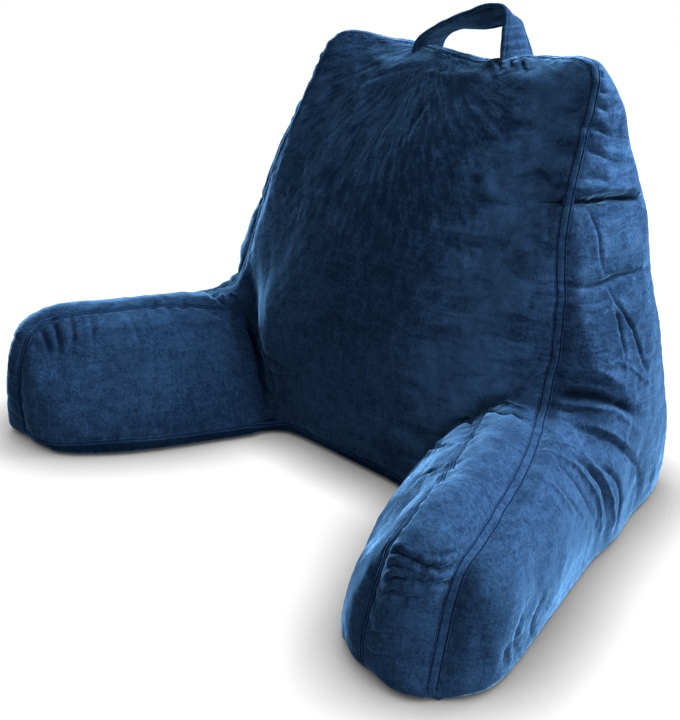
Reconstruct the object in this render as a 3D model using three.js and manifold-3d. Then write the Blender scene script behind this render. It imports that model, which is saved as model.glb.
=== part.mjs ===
// Reading pillow: a backrest and two arms sewn as one filled cover, with a strap to carry it by.
// Millimetres, +Z up, the sitter leans on the -Y side. The origin is the middle of the
// footprint on the surface the pillow stands on.

import * as THREE from "three";
import { mergeVertices } from "three/addons/utils/BufferGeometryUtils.js";
import Module from "manifold-3d";

// Driving dimensions
const BACK_HEIGHT = 431;      // top seam of the backrest above the floor
const TOP_SAG = 8;            // dip of the top seam between the strap ends
const TOP_SETBACK = 192;      // how far back the middle of the top seam lies
const SIDE_LEAN = 0.46;       // setback of the side seams for each millimetre of height
const FRONT_CROWN = 30;       // swell of the front panel beyond its side seams
const HEM = 4;                // lower seams above the floor
const FLAT_SHARE = 0.93;      // share of the underside that lies flat
const SEAM_DITCH = 6;         // how far the stitching draws the cover in
const SEAM_WIDTH = 13;        // how far to each side the ditch reaches
const CREASE_DITCH = 6;       // depth of the fold where an arm leaves the backrest
const CREASE_WIDTH = 16;
const STRAP_FRONT = 186;      // front edge of the strap, on the depth axis
const STRAP_WIDTH = 44;
const STRAP_THICK = 5;
const STRAP_EDGE = 0.45;      // thickness at the strap's edges, as a share of its thickness
const CLEARANCE = 0.35;       // between the strap ends and the cover

// How square the swell of a panel is: 2 is a plain arc, more is flatter with rounder edges.
const PANEL_POWER = 2.3;
const FRONT_POWER_ACROSS = 3;
const FRONT_POWER_UP = 2.6;
const STRAP_POWER = 8;

// Mesh density: steps between two ribs from the nose to the middle, and steps across each panel.
const STATION_STEPS = [2, 3, 3, 3, 6, 6, 4, 5, 6, 5, 4, 4, 5];
const INNER_STEPS = 7;
const FRONT_STEPS = 10;
const OUTER_STEPS = 20;
const UNDER_CROWDING = 2.2;   // crowds the points of the underside towards its two seams
const SEAM_SAMPLES = 240;
const EDGE_SAMPLES = 90;
const FOLD_SAMPLES = 24;
const STRAP_STEPS = 36;

// One row for each section through the right half, from the nose of the arm to the middle of
// the backrest. foot and heel are the lower inner and outer seams (x, y); edge is the inner top
// seam of the arm; seam is the long felled seam that runs up the nose, along the arm, up the side
// of the backrest and across its top. inner and top are how far the inner panel and the top strip
// of the arm swell. shoulder and lift lead the outer panel away from the felled seam, flare and
// skirt lead it into the heel. arm is 1 where the section has a top strip of its own.
const RIBS = [
  { at: "nose foot", foot: [280, -223], edge: [280, -223, HEM],
    seam: [340, -206, HEM], heel: [340, -206],
    inner: 0, top: 13, shoulder: 0, lift: 0, flare: 0, skirt: 0, arm: 1 },
  { at: "nose low", foot: [265, -223], edge: [280, -226, 46],
    seam: [340, -197, 44], heel: [350, -191],
    inner: 5, top: 13, shoulder: 9, lift: 0, flare: 8, skirt: 14, arm: 1 },
  { at: "nose front", foot: [255, -215], edge: [284, -219, 84],
    seam: [339, -187, 80], heel: [361, -172],
    inner: 7, top: 13, shoulder: 20, lift: 0, flare: 12, skirt: 28, arm: 1 },
  { at: "nose top", foot: [241, -211], edge: [288, -202, 121],
    seam: [340, -176, 107], heel: [364, -158],
    inner: 9, top: 12, shoulder: 30, lift: 2, flare: 14, skirt: 38, arm: 1 },
  { at: "arm front", foot: [224, -198], edge: [284, -172, 140],
    seam: [337, -150, 120], heel: [361, -133],
    inner: 11, top: 10, shoulder: 36, lift: 2, flare: 16, skirt: 46, arm: 1 },
  { at: "arm middle", foot: [165, -110], edge: [247, -89, 140],
    seam: [313, -86, 130], heel: [345, -76],
    inner: 14, top: 9, shoulder: 40, lift: 2, flare: 16, skirt: 52, arm: 1 },
  { at: "arm rear", foot: [122, -32], edge: [211, -18, 136],
    seam: [275, -10, 133], heel: [324, -5],
    inner: 13, top: 9, shoulder: 42, lift: 3, flare: 16, skirt: 56, arm: 1 },
  { at: "root", foot: [109, 1], edge: [193, 19, 132],
    seam: [237, 52, 142], heel: [305, 58],
    inner: 6, top: 6, shoulder: 44, lift: 3, flare: 16, skirt: 66, arm: 1 },
  { at: "side low", foot: [103, 8], edge: [180, 40, 150],
    seam: [229, 75, 210], heel: [300, 95],
    inner: 0, top: 0, shoulder: 38, lift: 2, flare: 16, skirt: 96, arm: 0 },
  { at: "side middle", foot: [97, 12], edge: [170, 60, 170],
    seam: [209, 98, 297], heel: [290, 142],
    inner: 0, top: 0, shoulder: 25, lift: 2, flare: 14, skirt: 140, arm: 0 },
  { at: "side high", foot: [89, 15], edge: [160, 70, 180],
    seam: [195, 132, 376], heel: [277, 193],
    inner: 0, top: 0, shoulder: 32, lift: 6, flare: 16, skirt: 150, arm: 0 },
  { at: "corner", foot: [78, 17], edge: [140, 80, 190],
    seam: [176, 169, 436], heel: [249, 241],
    inner: 0, top: 0, shoulder: 40, lift: 20, flare: 14, skirt: 70, arm: 0 },
  { at: "top quarter", foot: [44, 18], edge: [90, 80, 190],
    seam: [104, 190, BACK_HEIGHT], heel: [126, 252],
    inner: 0, top: 0, shoulder: 80, lift: 14, flare: 14, skirt: 200, arm: 0 },
  { at: "middle", foot: [0, 18], edge: [0, 80, 190],
    seam: [0, TOP_SETBACK, BACK_HEIGHT - TOP_SAG], heel: [0, 254],
    inner: 0, top: 0, shoulder: 90, lift: 14, flare: 14, skirt: 220, arm: 0 },
];

// Folds that the filling and the pull of the seams press into the cover: points along each fold,
// its depth and its half width. far is the depth of its mirror image on the left side.
const FOLDS = [
  { at: "crease across the side", line: [[167, 106, 308], [202, 114, 315], [228, 142, 317], [231, 188, 311]],
    depth: 9, width: 20, far: 0 },
  { at: "second side crease", line: [[227, 92, 244], [247, 111, 248], [253, 163, 249]],
    depth: 5, width: 20, far: 5 },
  { at: "upper drag fold", line: [[236, 61, 146], [271, 76, 151], [288, 105, 136], [288, 128, 115]],
    depth: 6, width: 17, far: 5 },
  { at: "middle drag fold", line: [[262, 28, 130], [283, 63, 121], [299, 92, 101], [286, 146, 48]],
    depth: 6, width: 17, far: 5 },
  { at: "lower drag fold", line: [[293, 5, 126], [308, 28, 99], [313, 44, 72], [309, 64, 31]],
    depth: 5, width: 16, far: 4 },
  { at: "fold over the arm root", line: [[174, 39, 115], [234, 11, 140], [241, 48, 134]],
    depth: 5, width: 15, far: 5 },
  { at: "fold on the nose", line: [[282, -215, 94], [311, -213, 108], [334, -180, 103]],
    depth: 4, width: 11, far: 2 },
  { at: "low fold on the nose", line: [[283, -223, 28], [314, -226, 38], [333, -203, 46]],
    depth: 4, width: 11, far: 2 },
];

// The strap stands as a loop that has flopped back: its front edge is higher than its rear edge.
// One row for each place along it, from the right end to the left end (x, z).
const STRAP = [
  { front: [52, 402], rear: [62, 396] },
  { front: [52, 428], rear: [60, 424] },
  { front: [54, 452], rear: [54, 444] },
  { front: [53, 472], rear: [41, 456] },
  { front: [37, 477], rear: [19, 451] },
  { front: [10, 470], rear: [-12, 446] },
  { front: [-20, 458], rear: [-44, 443] },
  { front: [-50, 444], rear: [-62, 434] },
  { front: [-70, 428], rear: [-71, 416] },
  { front: [-77, 402], rear: [-75, 394] },
];

const mirroredPoint = ([x, ...rest]) => [-x, ...rest];
const mirroredRib = (rib) => ({
  ...rib,
  foot: mirroredPoint(rib.foot),
  heel: mirroredPoint(rib.heel),
  edge: mirroredPoint(rib.edge),
  seam: mirroredPoint(rib.seam),
});
const ALL_RIBS = [...RIBS, ...RIBS.slice(0, -1).reverse().map(mirroredRib)];
const LAST = ALL_RIBS.length - 1;
const ROOT_RIB = RIBS.findIndex((rib) => rib.at === "root");

// Smooth runs through the ribs: four seam lines, and the numbers that shape the panels.
const through = (points) => new THREE.CatmullRomCurve3(
  points.map((point) => new THREE.Vector3(...point)), false, "centripetal");
const footRun = through(ALL_RIBS.map((rib) => [...rib.foot, HEM]));
const heelRun = through(ALL_RIBS.map((rib) => [...rib.heel, HEM]));
const edgeRun = through(ALL_RIBS.map((rib) => rib.edge));
const seamRun = through(ALL_RIBS.map((rib) => rib.seam));
const at = (curve, station) => curve.getPoint(THREE.MathUtils.clamp(station, 0, LAST) / LAST);
// One number of the table at a station between two ribs.
const blend = (key, station) => {
  const low = Math.min(Math.floor(station), LAST - 1);
  const share = THREE.MathUtils.smoothstep(station - low, 0, 1);
  return THREE.MathUtils.lerp(ALL_RIBS[low][key], ALL_RIBS[low + 1][key], share);
};

// A panel strung between two seam lines, swollen along the normal of the surface between them.
function panel(fromRun, toRun, station, crown, steps) {
  const from = at(fromRun, station);
  const to = at(toRun, station);
  const middle = (other) => at(fromRun, other).add(at(toRun, other)).multiplyScalar(0.5);
  const along = middle(station + 0.25).sub(middle(station - 0.25));
  const inward = new THREE.Vector3().crossVectors(along, to.clone().sub(from)).normalize();
  return Array.from({ length: steps + 1 }, (_, k) => {
    const swell = crown * (1 - Math.abs(2 * k / steps - 1) ** PANEL_POWER);
    return from.clone().lerp(to, k / steps).addScaledVector(inward, -swell);
  });
}

// The front panel swells most in its middle and is tied down along all its edges.
const LEAN_OUT = new THREE.Vector3(0, -1, SIDE_LEAN).normalize();
const rootRib = RIBS[ROOT_RIB];
const sideSeam = new THREE.Vector3(...RIBS[ROOT_RIB + 1].seam);
const sideLine = [
  [HEM, rootRib.foot[0]],
  [rootRib.edge[2], rootRib.edge[0]],
  ...RIBS.slice(ROOT_RIB + 1, -2).map((rib) => [rib.seam[2], rib.seam[0]]),
];
function halfWidth(z) {
  const next = Math.max(1, sideLine.findIndex(([height]) => height >= z));
  const [[z0, x0], [z1, x1]] = [sideLine[next - 1], sideLine[next]];
  return THREE.MathUtils.lerp(x0, x1, THREE.MathUtils.clamp((z - z0) / (z1 - z0), 0, 1));
}
function frontSwell(point) {
  const rise = THREE.MathUtils.clamp((point.z - HEM) / (BACK_HEIGHT - HEM), 0, 1);
  const side = Math.min(1, Math.abs(point.x) / halfWidth(point.z));
  const fullness = (1 - side ** FRONT_POWER_ACROSS) * (1 - Math.abs(2 * rise - 1) ** FRONT_POWER_UP);
  const ahead = point.clone().sub(sideSeam).setX(0).dot(LEAN_OUT);
  return (FRONT_CROWN - ahead) * fullness;
}

// The ring of points round one section: front, outer panel, underside.
function section(station) {
  const foot = at(footRun, station);
  const seam = at(seamRun, station);
  const heel = at(heelRun, station);

  const inner = panel(footRun, edgeRun, station, blend("inner", station), INNER_STEPS);
  const strip = panel(edgeRun, seamRun, station, blend("top", station), FRONT_STEPS);
  const armShape = [...inner.slice(0, -1), ...strip];
  const backShape = panel(footRun, seamRun, station, 0, INNER_STEPS + FRONT_STEPS);
  backShape.forEach((point) => point.addScaledVector(LEAN_OUT, frontSwell(point)));
  const arm = blend("arm", station);
  const front = backShape.map((point, k) => point.lerp(armShape[k], arm));

  const away = heel.clone().sub(foot).setZ(0).normalize();
  const up = new THREE.Vector3(0, 0, 1);
  const outer = new THREE.CubicBezierCurve3(
    seam,
    seam.clone().addScaledVector(away, blend("shoulder", station)).addScaledVector(up, blend("lift", station)),
    heel.clone().addScaledVector(away, blend("flare", station)).addScaledVector(up, blend("skirt", station)),
    heel,
  ).getPoints(OUTER_STEPS);

  const tip = station === 0 || station === LAST;
  const under = strip.map((_, k) => {
    if (tip) {
      return strip[FRONT_STEPS - k].clone();
    }
    const t = k / FRONT_STEPS;
    const near = 0.5 * (2 * Math.min(t, 1 - t)) ** UNDER_CROWDING;
    const share = t < 0.5 ? near : 1 - near;
    const rim = Math.max(0, (Math.abs(2 * share - 1) - FLAT_SHARE) / (1 - FLAT_SHARE));
    return heel.clone().lerp(foot, share).setZ(HEM * rim ** 2);
  });
  return [...front.slice(0, -1), ...outer.slice(0, -1), ...under.slice(0, -1)];
}

const stations = [];
[...STATION_STEPS, ...STATION_STEPS.slice().reverse()].forEach((steps, rib) => {
  for (let k = 0; k < steps; k += 1) {
    stations.push(rib + k / steps);
  }
});
stations.push(LAST);

// Joins rings into a closed skin. Rings that shrink to a line close the skin by themselves.
function skin(rings, capped) {
  const around = rings[0].length;
  const positions = rings.flat().flatMap((point) => point.toArray());
  const index = [];
  for (let i = 0; i + 1 < rings.length; i += 1) {
    for (let j = 0; j < around; j += 1) {
      const a = i * around + j;
      const b = i * around + (j + 1) % around;
      index.push(a, b, a + around, b, b + around, a + around);
    }
  }
  if (capped) {
    const end = (rings.length - 1) * around;
    for (let j = 0; j + 1 < around / 2; j += 1) {
      const k = around - 1 - j;
      index.push(j, k, j + 1, k, k - 1, j + 1);
      index.push(end + j, end + j + 1, end + k, end + k, end + j + 1, end + k - 1);
    }
  }
  const geometry = new THREE.BufferGeometry();
  geometry.setAttribute("position", new THREE.Float32BufferAttribute(positions, 3));
  geometry.setIndex(index);
  return withoutSlivers(mergeVertices(geometry, 0.01));
}

function withoutSlivers(geometry) {
  const index = geometry.getIndex().array;
  const kept = [];
  for (let k = 0; k < index.length; k += 3) {
    const [a, b, c] = [index[k], index[k + 1], index[k + 2]];
    if (a !== b && b !== c && c !== a) {
      kept.push(a, b, c);
    }
  }
  geometry.setIndex(kept);
  return geometry;
}

// Stitching and folds draw the cover in along lines on its surface.
const sampled = (curve, from, to, count) => Array.from(
  { length: count + 1 }, (_, k) => at(curve, from + (to - from) * k / count));
const evenly = (points, depth, width) => points.map((point) => ({ point, depth, width }));
function tapered(line, depth, width) {
  const curve = through(line);
  return curve.getPoints(FOLD_SAMPLES).map((point, k) => {
    const strength = Math.sqrt(Math.sin(Math.PI * k / FOLD_SAMPLES));
    return { point, depth: depth * strength, width };
  });
}
const creaseOf = (station) => section(station).slice(1, INNER_STEPS + FRONT_STEPS);
const pulls = [
  ...evenly(sampled(seamRun, 0, LAST, SEAM_SAMPLES), SEAM_DITCH, SEAM_WIDTH),
  ...evenly(sampled(edgeRun, 0, ROOT_RIB, EDGE_SAMPLES), SEAM_DITCH, SEAM_WIDTH),
  ...evenly(sampled(edgeRun, LAST - ROOT_RIB, LAST, EDGE_SAMPLES), SEAM_DITCH, SEAM_WIDTH),
  ...evenly(creaseOf(ROOT_RIB), CREASE_DITCH, CREASE_WIDTH),
  ...evenly(creaseOf(LAST - ROOT_RIB), CREASE_DITCH, CREASE_WIDTH),
  ...FOLDS.flatMap((fold) => tapered(fold.line, fold.depth, fold.width)),
  ...FOLDS.flatMap((fold) => tapered(fold.line.map(mirroredPoint), fold.far, fold.width)),
];

function movedAlongNormals(geometry, amount) {
  const moved = geometry.clone();
  moved.computeVertexNormals();
  const position = moved.getAttribute("position");
  const normal = moved.getAttribute("normal");
  const point = new THREE.Vector3();
  const direction = new THREE.Vector3();
  for (let k = 0; k < position.count; k += 1) {
    point.fromBufferAttribute(position, k);
    direction.fromBufferAttribute(normal, k);
    point.addScaledVector(direction, amount(point));
    position.setXYZ(k, point.x, point.y, point.z);
  }
  return moved;
}
function pullAt(point) {
  if (point.z < HEM - 1) {
    return 0;
  }
  let most = 0;
  for (const pull of pulls) {
    const reach = pull.point.distanceToSquared(point) / pull.width ** 2;
    most = Math.max(most, pull.depth * Math.exp(-reach));
  }
  return -most;
}
const bodyGeometry = movedAlongNormals(skin(stations.map(section), false), pullAt);

// The strap: a flat band with softened edges between its front and rear edge lines.
const frontEdge = through(STRAP.map((row) => [row.front[0], STRAP_FRONT, row.front[1]]));
const rearEdge = through(STRAP.map((row) => [row.rear[0], STRAP_FRONT + STRAP_WIDTH, row.rear[1]]));
const ACROSS = [0, 0.06, 0.28, 0.5, 0.72, 0.94, 1];
function strapRing(t) {
  const front = frontEdge.getPoint(t);
  const across = rearEdge.getPoint(t).sub(front);
  const along = frontEdge.getTangent(t).add(rearEdge.getTangent(t));
  const out = new THREE.Vector3().crossVectors(across, along).normalize();
  const round = (v) => 1 - Math.abs(2 * v - 1) ** STRAP_POWER;
  const thick = (v) => STRAP_THICK / 2 * THREE.MathUtils.lerp(STRAP_EDGE, 1, round(v));
  const side = (v, sign) => front.clone().addScaledVector(across, v).addScaledVector(out, sign * thick(v));
  return [...ACROSS.map((v) => side(v, 1)), ...ACROSS.slice().reverse().map((v) => side(v, -1))];
}
const strapRings = Array.from({ length: STRAP_STEPS + 1 }, (_, k) => strapRing(k / STRAP_STEPS));
const strapGeometry = skin(strapRings, true);

// The strap ends on the cover, so what would lie inside the cover is cut off.
const wasm = await Module();
wasm.setup();
const asManifold = (geometry) => new wasm.Manifold(new wasm.Mesh({
  numProp: 3,
  vertProperties: new Float32Array(geometry.getAttribute("position").array),
  triVerts: new Uint32Array(geometry.getIndex().array),
}));
function asGeometry(manifold) {
  const mesh = manifold.getMesh();
  const geometry = new THREE.BufferGeometry();
  geometry.setAttribute("position", new THREE.Float32BufferAttribute(mesh.vertProperties, 3));
  geometry.setIndex([...mesh.triVerts]);
  return geometry;
}
const roomForCover = asManifold(movedAlongNormals(bodyGeometry, () => CLEARANCE));
const handleGeometry = asGeometry(asManifold(strapGeometry).subtract(roomForCover));

function piece(name, geometry, color) {
  geometry.computeVertexNormals();
  const mesh = new THREE.Mesh(geometry, new THREE.MeshStandardMaterial({ color, roughness: 0.95 }));
  mesh.name = name;
  return mesh;
}
const pillow = new THREE.Group();
pillow.add(piece("body", bodyGeometry, 0x2b4d80));
pillow.add(piece("handle", handleGeometry, 0x2b4d80));

// Set the middle of the footprint on the origin.
const box = new THREE.Box3().setFromObject(pillow);
const middle = box.getCenter(new THREE.Vector3());
pillow.position.set(-middle.x, -middle.y, -box.min.z);

export default pillow;
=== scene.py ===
# %% [markdown]
# # A velour reading pillow
# The real pillow is a sewn cover with loose filling: a backrest and two arms that reach forward,
# so that someone can sit up in bed and read. This lesson dresses its plain solids. We start by
# loading them as a fixed frame, in metres, and never move or resize them. Everything that follows
# is placed from that frame.

# %% Load the frame
import math

import bmesh
import bpy
import numpy as np
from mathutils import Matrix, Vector
from mathutils.bvhtree import BVHTree
from mathutils.kdtree import KDTree


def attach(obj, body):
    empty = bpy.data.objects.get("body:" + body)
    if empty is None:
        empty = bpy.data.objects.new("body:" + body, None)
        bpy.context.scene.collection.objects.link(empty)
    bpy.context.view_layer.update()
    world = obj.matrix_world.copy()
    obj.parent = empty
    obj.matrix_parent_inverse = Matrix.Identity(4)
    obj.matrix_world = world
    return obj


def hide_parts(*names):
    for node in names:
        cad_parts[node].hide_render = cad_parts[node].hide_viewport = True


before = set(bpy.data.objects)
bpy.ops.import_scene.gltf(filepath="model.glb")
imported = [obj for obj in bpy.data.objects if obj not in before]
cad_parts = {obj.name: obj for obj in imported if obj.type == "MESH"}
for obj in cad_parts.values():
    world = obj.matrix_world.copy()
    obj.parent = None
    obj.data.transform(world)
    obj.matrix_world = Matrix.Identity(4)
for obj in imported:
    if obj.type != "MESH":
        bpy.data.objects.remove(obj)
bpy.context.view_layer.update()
MM = 0.001

# %% [markdown]
# ## The eye
# The camera comes first, because the folds of the cover are placed where the photograph shows
# them: a point in the picture is a ray from the eye, and the fold lies where that ray meets the
# cover. The picture is 680 by 720, and its perspective gives the eye's place.

# %% Camera at the photograph's angle
PICTURE = (680, 720)
EYE_TURN = math.radians(47.4)  # how far to the pillow's right the eye stands
EYE_RISE = math.radians(22.4)
EYE_DISTANCE = 1213.9 * MM
EYE_FOCUS = 1147.0  # focal length in pixels of the picture
LOOK_AT = Vector((0, -7.53, 123.6)) * MM
SENSOR = 24.0

forward = Vector((-math.sin(EYE_TURN) * math.cos(EYE_RISE),
                  math.cos(EYE_TURN) * math.cos(EYE_RISE),
                  -math.sin(EYE_RISE)))


def add_object(name, data):
    """A new object in the scene."""
    made = bpy.data.objects.new(name, data)
    bpy.context.scene.collection.objects.link(made)
    return made


camera_data = bpy.data.cameras.new("eye")
camera_data.sensor_fit = "VERTICAL"
camera_data.sensor_height = SENSOR
camera_data.lens = EYE_FOCUS / PICTURE[1] * SENSOR
eye = add_object("eye", camera_data)
eye.location = LOOK_AT - EYE_DISTANCE * forward
eye.rotation_euler = forward.to_track_quat("-Z", "Y").to_euler()
bpy.context.scene.camera = eye
EYE_RIGHT = Vector((math.cos(EYE_TURN), math.sin(EYE_TURN), 0))
EYE_UP = EYE_RIGHT.cross(forward)


def sight_line(px, py):
    """The direction in which a point of the picture is seen."""
    across = (px - PICTURE[0] / 2) / EYE_FOCUS
    up = (PICTURE[1] / 2 - py) / EYE_FOCUS
    return (forward + across * EYE_RIGHT + up * EYE_UP).normalized()


print("eye at", [round(c, 3) for c in eye.location], "lens", round(camera_data.lens, 1), "mm")

# %% [markdown]
# ## The pattern of the cover
# A maker draws the seams first. The long felled seam runs up the nose of one arm, along the arm, up
# the side of the backrest, across its top and down the other side. A plain seam edges the top strip
# of each arm, and another joins the front to the base panel just above the floor. One table holds
# all three, in millimetres, for the right half. The left half is its mirror image.

# %% Seam lines
PATTERN_SETBACK = 18.28  # the row's origin lies this far behind the pattern's origin
HEM = 15  # the lower seam above the floor
SEAM_ROWS = [
    # place, lower seam (x, y), plain top seam of the arm (x, y, z), felled seam (x, y, z)
    ("nose foot", (280, -223), (280, -223, 14), (340, -206, 8)),
    ("nose low", (265, -223), (280, -226, 46), (340, -197, 44)),
    ("nose front", (255, -215), (284, -219, 84), (339, -187, 80)),
    ("nose top", (241, -211), (288, -202, 121), (340, -176, 107)),
    ("arm front", (224, -198), (284, -172, 140), (337, -150, 120)),
    ("arm middle", (165, -110), (247, -89, 140), (313, -86, 130)),
    ("arm rear", (122, -32), (211, -18, 136), (275, -10, 133)),
    ("root", (109, 1), (193, 19, 132), (237, 52, 142)),
    ("side low", (103, 8), None, (229, 75, 210)),
    ("side middle", (97, 12), None, (209, 98, 297)),
    ("side high", (89, 15), None, (195, 132, 376)),
    ("corner", (78, 17), None, (176, 169, 436)),
    ("top quarter", (44, 18), None, (104, 199, 430)),
    ("middle", (0, 18), None, (0, 202, 422)),
]
LINE_STEP = 2 * MM
CURVE_PARTS = 24  # points of a smooth line between two given ones
HEM_START = 12  # steps of the lower seam that lie out of sight under the right nose


def in_frame(points):
    """Pattern points, in millimetres, as metres in the row's frame."""
    return (np.array(points, float) - (0, PATTERN_SETBACK, 0)) * MM


def mirrored(line):
    return line * (-1, 1, 1)


def sizes(vectors):
    return np.linalg.norm(vectors, axis=1)


def length_along(line):
    """How far along a line each of its points lies."""
    return np.r_[0, np.cumsum(sizes(np.diff(line, axis=0)))]


def sampled(values, length, at):
    """Values known along a line, at other places along it."""
    return np.stack([np.interp(at, length, values[:, k]) for k in range(3)], axis=1)


def evenly(line, count):
    """A line with this many points at even steps."""
    length = length_along(line)
    return sampled(line, length, np.linspace(0, length[-1], count))


def smooth_line(points):
    """Points at even steps on a smooth line through the given ones."""
    points = np.asarray(points, float)
    ends = np.vstack([2 * points[0] - points[1], points, 2 * points[-1] - points[-2]])
    run = []
    for a, b, c, d in zip(ends[:-3], ends[1:-2], ends[2:-1], ends[3:]):
        gaps = [math.sqrt(np.linalg.norm(q - p)) for p, q in ((a, b), (b, c), (c, d))]
        leave = ((b - a) / gaps[0] - (c - a) / (gaps[0] + gaps[1]) + (c - b) / gaps[1]) * gaps[1]
        arrive = ((c - b) / gaps[1] - (d - b) / (gaps[1] + gaps[2]) + (d - c) / gaps[2]) * gaps[1]
        t = np.linspace(0, 1, CURVE_PARTS, endpoint=False)[:, None]
        run.append(b + leave * t + (3 * (c - b) - 2 * leave - arrive) * t ** 2
                   + (2 * (b - c) + leave + arrive) * t ** 3)
    run = np.vstack([*run, points[-1:]])
    return evenly(run, max(3, int(length_along(run)[-1] / LINE_STEP) + 1))


def both_halves(points):
    """A line from the right nose over the middle to the left nose."""
    half = in_frame(points)
    return smooth_line(np.vstack([half, mirrored(half[-2::-1])]))


FELLED_LINE = both_halves([felled for _, _, _, felled in SEAM_ROWS])
HEM_LINE = both_halves([(*foot, HEM) for _, foot, _, _ in SEAM_ROWS])[HEM_START:]
plain_right = smooth_line(in_frame([plain for _, _, plain, _ in SEAM_ROWS if plain]))
PLAIN_LINES = [plain_right, mirrored(plain_right)]
for name, line in (("felled", FELLED_LINE), ("lower", HEM_LINE), ("plain", plain_right)):
    print(name, "seam", round(len(line) * LINE_STEP, 2), "m")

# %% [markdown]
# ## The filled cover
# The solid already has the pillow's swell. A cover that looks sewn needs an even skin of small
# faces, so a copy of the solid is remeshed into a fine net and evened until its facets are gone.
# The underside stays flat, because the pillow stands on it.

# %% Mesh helpers
def read_all(items, key, width, kind=np.float32):
    """One property of all the points, edges or faces of a mesh, a row for each."""
    flat = np.empty(len(items) * width, kind)
    items.foreach_get(key, flat)
    return flat.reshape(-1, width)


def points_of(mesh):
    return read_all(mesh.vertices, "co", 3).astype(float)


def put_points(mesh, points):
    mesh.vertices.foreach_set("co", np.asarray(points, np.float32).ravel())
    mesh.update()


def normals_of(mesh):
    return read_all(mesh.vertex_normals, "vector", 3).astype(float)


def edges_of(mesh):
    return read_all(mesh.edges, "vertices", 2, np.int32)


def unit(vectors):
    return vectors / sizes(vectors)[:, None]


def relaxed(values, edges, rounds, share=0.5):
    """Each vertex drawn towards the middle of its neighbours, a few times over."""
    size = len(values)
    count = np.bincount(edges.ravel(), minlength=size)[:, None]
    for _ in range(rounds):
        total = np.stack([np.bincount(edges[:, 0], values[edges[:, 1], k], size)
                          + np.bincount(edges[:, 1], values[edges[:, 0], k], size)
                          for k in range(values.shape[1])], axis=1)
        values = values + share * (total / count - values)
    return values


def nearest_on(points, line):
    """For each point, the nearest sample of a line and how far away it is."""
    tree = KDTree(len(line))
    for k, sample in enumerate(line):
        tree.insert(sample, k)
    tree.balance()
    found = [tree.find(p) for p in points]
    return np.array([f[1] for f in found]), np.array([f[2] for f in found])


def new_piece(name, points, faces):
    mesh = bpy.data.meshes.new(name)
    mesh.from_pydata([tuple(p) for p in points], [], [tuple(f) for f in faces])
    mesh.update()
    return add_object(name, mesh)


# %% An even skin over the solid
NET = 5.4 * MM  # size of the net's faces
STANDS_ON = 3 * MM  # points lower than this rest on the surface
EVEN_ROUNDS = 14  # of relaxing and swelling back, so that facets go and the form stays
SWELL_BACK = -0.52

cover = add_object("cover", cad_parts["body"].data.copy())
cover.data.materials.clear()
remesh = cover.modifiers.new("net", "REMESH")
remesh.mode = "VOXEL"
remesh.voxel_size = NET
bpy.context.view_layer.update()
netted = cover.evaluated_get(bpy.context.evaluated_depsgraph_get())
cover.data = bpy.data.meshes.new_from_object(netted)
cover.modifiers.clear()

skin = points_of(cover.data)
resting = skin[:, 2] < STANDS_ON
net_edges = edges_of(cover.data)
eased = skin
for _ in range(EVEN_ROUNDS):
    eased = relaxed(relaxed(eased, net_edges, 1), net_edges, 1, SWELL_BACK)
eased[resting] = skin[resting]
put_points(cover.data, eased)
print("cover:", len(cover.data.vertices), "points,", len(cover.data.polygons), "faces")

# %% [markdown]
# ## The filling presses the cover out
# A sewn cover is a little larger than its seams allow, and the filling presses the surplus out
# between them, so the velour wrinkles. That is a job for a cloth simulation: the seams and the
# underside are held, the cloth grows a little, and pressure from within does the rest. The solid
# has the broad swell already, so that part is taken out again and only the wrinkles stay.

# %% Cloth held at its seams
CLOTH_FRAMES = 20
CLOTH_SURPLUS = 0.04
CLOTH_PRESSURE = 4.0
CLOTH_REACH = 5 * MM  # how far a point may go
CLOTH_SHARE = 0.4  # how much of the wrinkling stays
SEAM_HOLD = 6 * MM  # cloth this near a seam is held by it
LOOSE_HOLD = 0.35  # how firmly the filling holds the rest
SWELL_ROUNDS = 30  # evening that leaves the broad swell and no wrinkles
STILL = 1e-9  # a movement too small to count


def blown_out(piece, held):
    """Where a cloth simulation takes the points of a piece; held is 1 where they can't move."""
    group = piece.vertex_groups.new(name="held")
    for k, weight in enumerate(held):
        group.add([k], float(weight), "REPLACE")
    cloth = piece.modifiers.new("cloth", "CLOTH")
    cloth.point_cache.frame_start, cloth.point_cache.frame_end = 1, CLOTH_FRAMES
    cloth.collision_settings.use_collision = False
    settings = cloth.settings
    settings.vertex_group_mass = group.name
    settings.quality = 5
    settings.mass = 0.3
    settings.tension_stiffness = settings.compression_stiffness = 12
    settings.shear_stiffness = 4
    settings.bending_stiffness = 0.15
    settings.use_pressure = True
    settings.uniform_pressure_force = CLOTH_PRESSURE
    settings.shrink_min = -CLOTH_SURPLUS
    settings.effector_weights.gravity = 0
    scene = bpy.context.scene
    for moment in range(1, CLOTH_FRAMES + 1):
        scene.frame_set(moment)
    end = points_of(piece.evaluated_get(bpy.context.evaluated_depsgraph_get()).data)
    piece.modifiers.clear()
    piece.vertex_groups.clear()
    scene.frame_set(1)
    return end


skin = points_of(cover.data)
_, apart = nearest_on(skin, np.vstack([FELLED_LINE, *PLAIN_LINES]))
held = np.where((apart < SEAM_HOLD) | (skin[:, 2] < HEM * MM), 1.0, LOOSE_HOLD)
move = blown_out(cover, held) - skin
move = CLOTH_SHARE * (move - relaxed(move, edges_of(cover.data), SWELL_ROUNDS))
far = sizes(move)
move *= np.minimum(1, CLOTH_REACH / np.maximum(far, STILL))[:, None]
put_points(cover.data, skin + move)
print("wrinkles", round(far.mean() / MM, 2), "mm on average,",
      round(far.max() / MM, 1), "at most")

# %% [markdown]
# ## Where the filling has settled
# The solid is the same left and right, as the pattern is. The filling of a real pillow settles, so
# one corner hangs fuller than its twin. A few places beside the outline are eased out or in, each
# in the direction that the cover faces there.

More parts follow.
